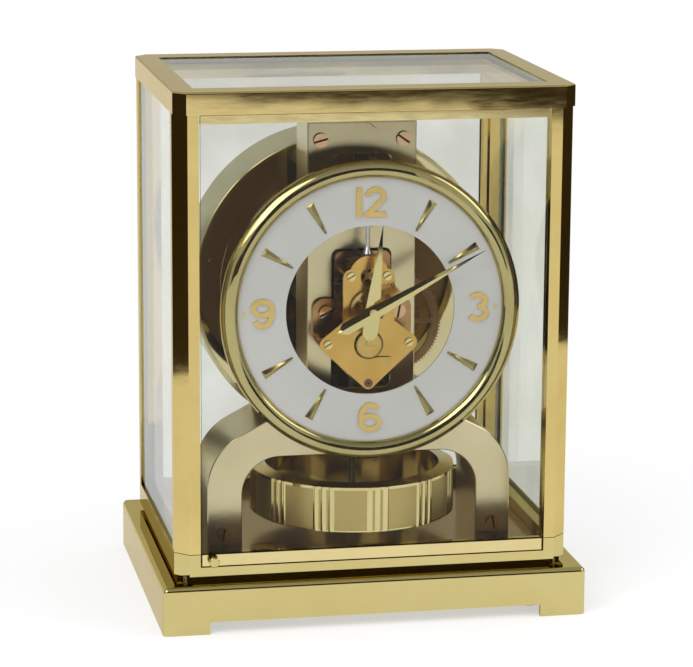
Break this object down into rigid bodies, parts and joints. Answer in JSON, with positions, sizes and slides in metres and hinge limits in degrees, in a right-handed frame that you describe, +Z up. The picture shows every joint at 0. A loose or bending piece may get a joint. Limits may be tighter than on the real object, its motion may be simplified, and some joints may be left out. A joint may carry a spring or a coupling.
{
  "type": "atmospheric clock",
  "caption": "Free-standing glazed brass mantel clock with an arch frame, a gas drum that winds it, an open movement inside a ring dial and a ring balance that swings on a thin wire.",
  "frame": {"origin": "bottom centre of the base plinth's box, on the surface that it stands on", "axes": "+Z up, the dial and the door face -Y, +X to the right as seen from the front"},
  "size_m": [0.188, 0.147, 0.235],
  "materials": {
    "gilt_brass": "gold-plated, polished to a mirror",
    "satin_gilt_brass": "gold-plated, brushed to a satin",
    "coppery_brass": "warm copper-gold plate, fine matt grain",
    "copper": "polished copper-coloured plate on screws",
    "steel": "turned and lightly polished",
    "spring_steel": "hardened, smooth",
    "clear_glass": "clear float glass with ground edges",
    "silvered_dial": "silvered, fine matt grain",
    "red_jewel": "polished synthetic ruby"
  },
  "bodies": {
    "case": {"base_plinth": "gilt_brass", "sill_frame": "gilt_brass", "floor_plate": "gilt_brass", "corner_posts": "gilt_brass", "tie_rods": "steel", "cap_frame": "gilt_brass", "top_glass": "clear_glass", "side_glasses": "clear_glass", "rear_glass": "clear_glass", "spirit_level": "gilt_brass", "arch_bracket": "satin_gilt_brass", "suspension_bridge": "satin_gilt_brass", "frame_screws": "copper", "suspension_clamp": "gilt_brass", "suspension_wire": "spring_steel", "hanger_rod": "gilt_brass", "drum_shell": "satin_gilt_brass", "drum_cover": "gilt_brass", "drum_spacers": "steel", "bellows_sleeve": "spring_steel", "return_spring": "spring_steel", "rear_cock": "satin_gilt_brass", "back_plate": "coppery_brass", "front_plate": "coppery_brass", "movement_pillars": "gilt_brass", "jewels": "red_jewel", "dial_carrier": "gilt_brass", "dial_plate": "silvered_dial", "bezel": "gilt_brass", "small_screws": "copper", "numerals": "gilt_brass", "hour_markers": "gilt_brass"},
    "door": {"door_bottom_rail": "gilt_brass", "door_top_rail": "gilt_brass", "door_glass": "clear_glass", "door_knob": "gilt_brass"},
    "left_pad": {"left_foot_pad": "steel"},
    "left_screw": {"left_levelling_screw": "gilt_brass"},
    "right_pad": {"right_foot_pad": "steel"},
    "right_screw": {"right_levelling_screw": "gilt_brass"},
    "bellows": {"bellows_plate": "steel"},
    "rocker": {"winding_rocker": "steel"},
    "winding": {"winding_wheel": "coppery_brass"},
    "transfer": {"transfer_arbor": "steel"},
    "winding_arbor": {"barrel_arbor": "coppery_brass", "ratchet_wheel": "steel"},
    "click": {"click": "steel"},
    "barrel": {"barrel": "coppery_brass", "mainspring": "spring_steel"},
    "centre": {"centre_wheel": "coppery_brass", "cannon_pinion": "steel", "minute_hand": "gilt_brass"},
    "minute": {"minute_wheel": "coppery_brass"},
    "hour": {"hour_wheel": "coppery_brass", "hour_hand": "gilt_brass"},
    "escape": {"escape_wheel": "coppery_brass"},
    "pallet": {"pallet_lever": "steel"},
    "balance": {"balance_ring": "satin_gilt_brass", "balance_arms": "satin_gilt_brass", "balance_staff": "steel"}
  },
  "joints": [
    {"name": "front_door", "type": "hinge", "parent": "case", "child": "door", "pos_m": [0.0738, -0.0633, 0.127], "axis": [0, 0, 1], "range_deg": [0, 110]},
    {"name": "left_pad_slide", "type": "slide", "parent": "case", "child": "left_pad", "axis": [0, 0, -1], "range_m": [0, 0.003]},
    {"name": "left_screw_turn", "type": "hinge", "parent": "left_pad", "child": "left_screw", "pos_m": [-0.073, -0.0525, 0.008], "axis": [0, 0, -1], "range_deg": [0, 1440]},
    {"name": "right_pad_slide", "type": "slide", "parent": "case", "child": "right_pad", "axis": [0, 0, -1], "range_m": [0, 0.003]},
    {"name": "right_screw_turn", "type": "hinge", "parent": "right_pad", "child": "right_screw", "pos_m": [0.073, -0.0525, 0.008], "axis": [0, 0, -1], "range_deg": [0, 1440]},
    {"name": "bellows_breath", "type": "slide", "parent": "case", "child": "bellows", "axis": [0, -1, 0], "range_m": [-0.0015, 0.0015], "stiffness_N_per_m": 1000},
    {"name": "winding_rocker_tilt", "type": "hinge", "parent": "case", "child": "rocker", "pos_m": [0, 0.004, 0.1207], "axis": [1, 0, 0], "range_deg": [-5.4, 5.4]},
    {"name": "winding_turn", "type": "hinge", "parent": "case", "child": "winding", "pos_m": [0.0188, -0.004, 0.1207], "axis": [0, 1, 0], "continuous": true},
    {"name": "transfer_turn", "type": "hinge", "parent": "case", "child": "transfer", "pos_m": [-0.005, -0.016, 0.1294], "axis": [0, 1, 0], "continuous": true},
    {"name": "winding_arbor_turn", "type": "hinge", "parent": "case", "child": "winding_arbor", "pos_m": [0, -0.04, 0.1207], "axis": [0, 1, 0], "continuous": true},
    {"name": "click_lift", "type": "hinge", "parent": "case", "child": "click", "pos_m": [0.0089, -0.0508, 0.1136], "axis": [0, -1, 0], "range_deg": [0, 8], "stiffness_Nm_per_rad": 0.0003},
    {"name": "barrel_turn", "type": "hinge", "parent": "case", "child": "barrel", "pos_m": [0, -0.044, 0.1207], "axis": [0, 1, 0], "continuous": true},
    {"name": "centre_turn", "type": "hinge", "parent": "case", "child": "centre", "pos_m": [0, -0.045, 0.1367], "axis": [0, 1, 0], "continuous": true},
    {"name": "minute_wheel_turn", "type": "hinge", "parent": "case", "child": "minute", "pos_m": [0.00838, -0.0512, 0.14154], "axis": [0, 1, 0], "continuous": true},
    {"name": "hour_turn", "type": "hinge", "parent": "case", "child": "hour", "pos_m": [0, -0.055, 0.1367], "axis": [0, 1, 0], "continuous": true},
    {"name": "escape_turn", "type": "hinge", "parent": "case", "child": "escape", "pos_m": [0, -0.042, 0.1508], "axis": [0, 1, 0], "continuous": true},
    {"name": "pallet_rock", "type": "hinge", "parent": "case", "child": "pallet", "pos_m": [0, -0.035, 0.1576], "axis": [0, 1, 0], "range_deg": [-6, 6]},
    {"name": "balance_swing", "type": "hinge", "parent": "case", "child": "balance", "pos_m": [0, -0.014, 0.048], "axis": [0, 0, 1], "range_deg": [-225, 225], "stiffness_Nm_per_rad": 0.000006}
  ],
  "couplings": [
    {"joint": "left_screw_turn", "follows": "left_pad_slide", "rad_per_m": 8377.6},
    {"joint": "right_screw_turn", "follows": "right_pad_slide", "rad_per_m": 8377.6},
    {"joint": "winding_rocker_tilt", "follows": "bellows_breath", "rad_per_m": 62.5},
    {"joint": "transfer_turn", "follows": "winding_turn", "ratio": -12},
    {"joint": "winding_arbor_turn", "follows": "winding_turn", "ratio": 2},
    {"joint": "barrel_turn", "follows": "centre_turn", "ratio": -0.125},
    {"joint": "escape_turn", "follows": "centre_turn", "ratio": -4},
    {"joint": "minute_wheel_turn", "follows": "centre_turn", "ratio": -0.66667},
    {"joint": "hour_turn", "follows": "centre_turn", "ratio": 0.083333}
  ]
}
